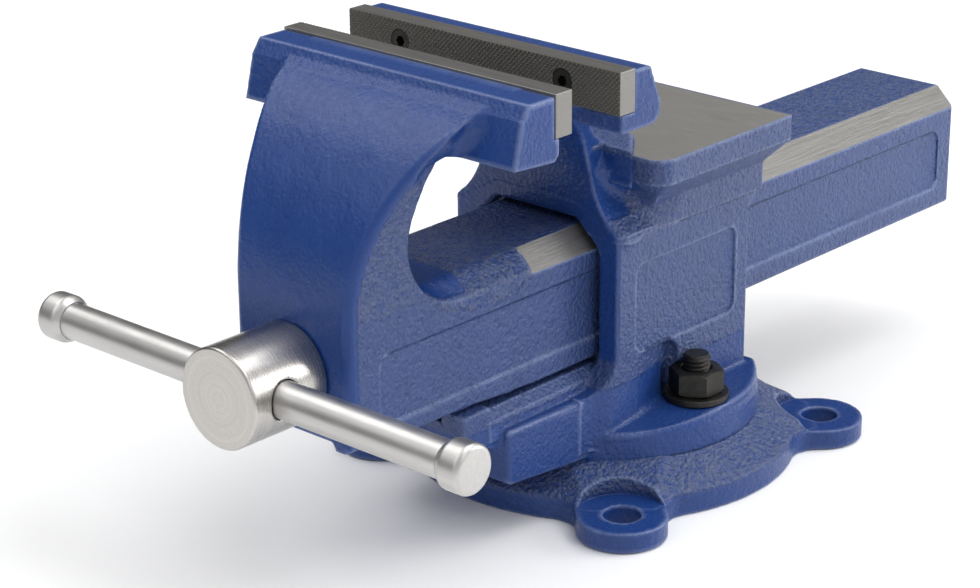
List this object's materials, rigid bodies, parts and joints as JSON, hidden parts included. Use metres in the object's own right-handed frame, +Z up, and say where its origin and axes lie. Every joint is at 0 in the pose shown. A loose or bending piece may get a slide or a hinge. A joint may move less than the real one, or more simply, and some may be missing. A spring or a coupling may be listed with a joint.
{
  "type": "quick-release bench vise",
  "caption": "Cast bench vise on a swivel base, with bolted steel jaw plates, an anvil, a box slide, a lead screw with a sliding tommy bar and a drop-away half nut.",
  "frame": {"origin": "on the swivel axis, in the plane of the bench, at the centre of the bench bolt circle", "axes": "+Z up, X along the jaws, -Y towards the handle, +Y towards the slide's tail"},
  "size_m": [0.238, 0.4613, 0.2055],
  "materials": {
    "blue_enamel": "glossy cobalt enamel over a lightly rough casting",
    "jaw_steel": "ground steel with a dark serrated gripping face",
    "turned_steel": "satin turned bright steel",
    "black_steel": "black oxide",
    "bronze": "plain bearing bronze",
    "cast_iron": "machined cast iron",
    "spring_steel": "plain spring wire"
  },
  "bodies": {
    "base": {"swivel_base": "blue_enamel"},
    "body": {"vise_body": "blue_enamel", "fixed_jaw_plate": "jaw_steel", "fixed_plate_screws": "black_steel", "nut_block": "cast_iron", "nut_block_screws": "black_steel", "nut_springs": "spring_steel", "cam_cover": "turned_steel", "cam_cover_screws": "black_steel", "lock_bolts": "black_steel", "lock_washers": "black_steel"},
    "slide": {"moving_jaw": "blue_enamel", "moving_jaw_plate": "jaw_steel", "moving_plate_screws": "black_steel", "thrust_washer": "bronze"},
    "spindle": {"spindle_head": "turned_steel", "lead_screw": "turned_steel", "retaining_collar": "turned_steel", "collar_set_screw": "black_steel", "stop_collar": "turned_steel", "stop_set_screw": "black_steel"},
    "handle": {"tommy_bar": "turned_steel", "left_knob": "turned_steel", "right_knob": "turned_steel"},
    "release_nut": {"half_nut": "bronze"},
    "release_cam": {"cam_plate": "turned_steel", "friction_ring": "bronze"},
    "right_nut": {"right_lock_nut": "black_steel"},
    "left_nut": {"left_lock_nut": "black_steel"}
  },
  "joints": [
    {"name": "swivel", "type": "hinge", "parent": "base", "child": "body", "pos_m": [0, 0, 0.02], "axis": [0, 0, 1], "continuous": true},
    {"name": "jaw_slide", "type": "slide", "parent": "body", "child": "slide", "axis": [0, -1, 0], "range_m": [-0.028, 0.172]},
    {"name": "spindle_turn", "type": "hinge", "parent": "slide", "child": "spindle", "pos_m": [0, -0.17, 0.0935], "axis": [0, -1, 0], "range_deg": [-1260, 7740]},
    {"name": "handle_slide", "type": "slide", "parent": "spindle", "child": "handle", "axis": [1, 0, 0], "range_m": [-0.08, 0.08]},
    {"name": "nut_drop", "type": "slide", "parent": "body", "child": "release_nut", "axis": [0, 0, -1], "range_m": [0, 0.0042], "stiffness_N_per_m": 2000, "springref_m": -0.004, "deforming": ["nut_springs"]},
    {"name": "release_turn", "type": "hinge", "parent": "body", "child": "release_cam", "pos_m": [0, 0.0165, 0.0935], "axis": [0, -1, 0], "range_deg": [0, 30.1]},
    {"name": "right_nut_turn", "type": "hinge", "parent": "body", "child": "right_nut", "pos_m": [0.054, 0, 0.0448], "axis": [0, 0, 1], "range_deg": [0, 360]},
    {"name": "left_nut_turn", "type": "hinge", "parent": "body", "child": "left_nut", "pos_m": [-0.054, 0, 0.0448], "axis": [0, 0, 1], "range_deg": [0, 360]}
  ],
  "couplings": [
    {"joint": "jaw_slide", "follows": "spindle_turn", "m_per_rad": 0.0012732},
    {"joint": "release_turn", "follows": "nut_drop", "rad_per_m": 124.67}
  ]
}
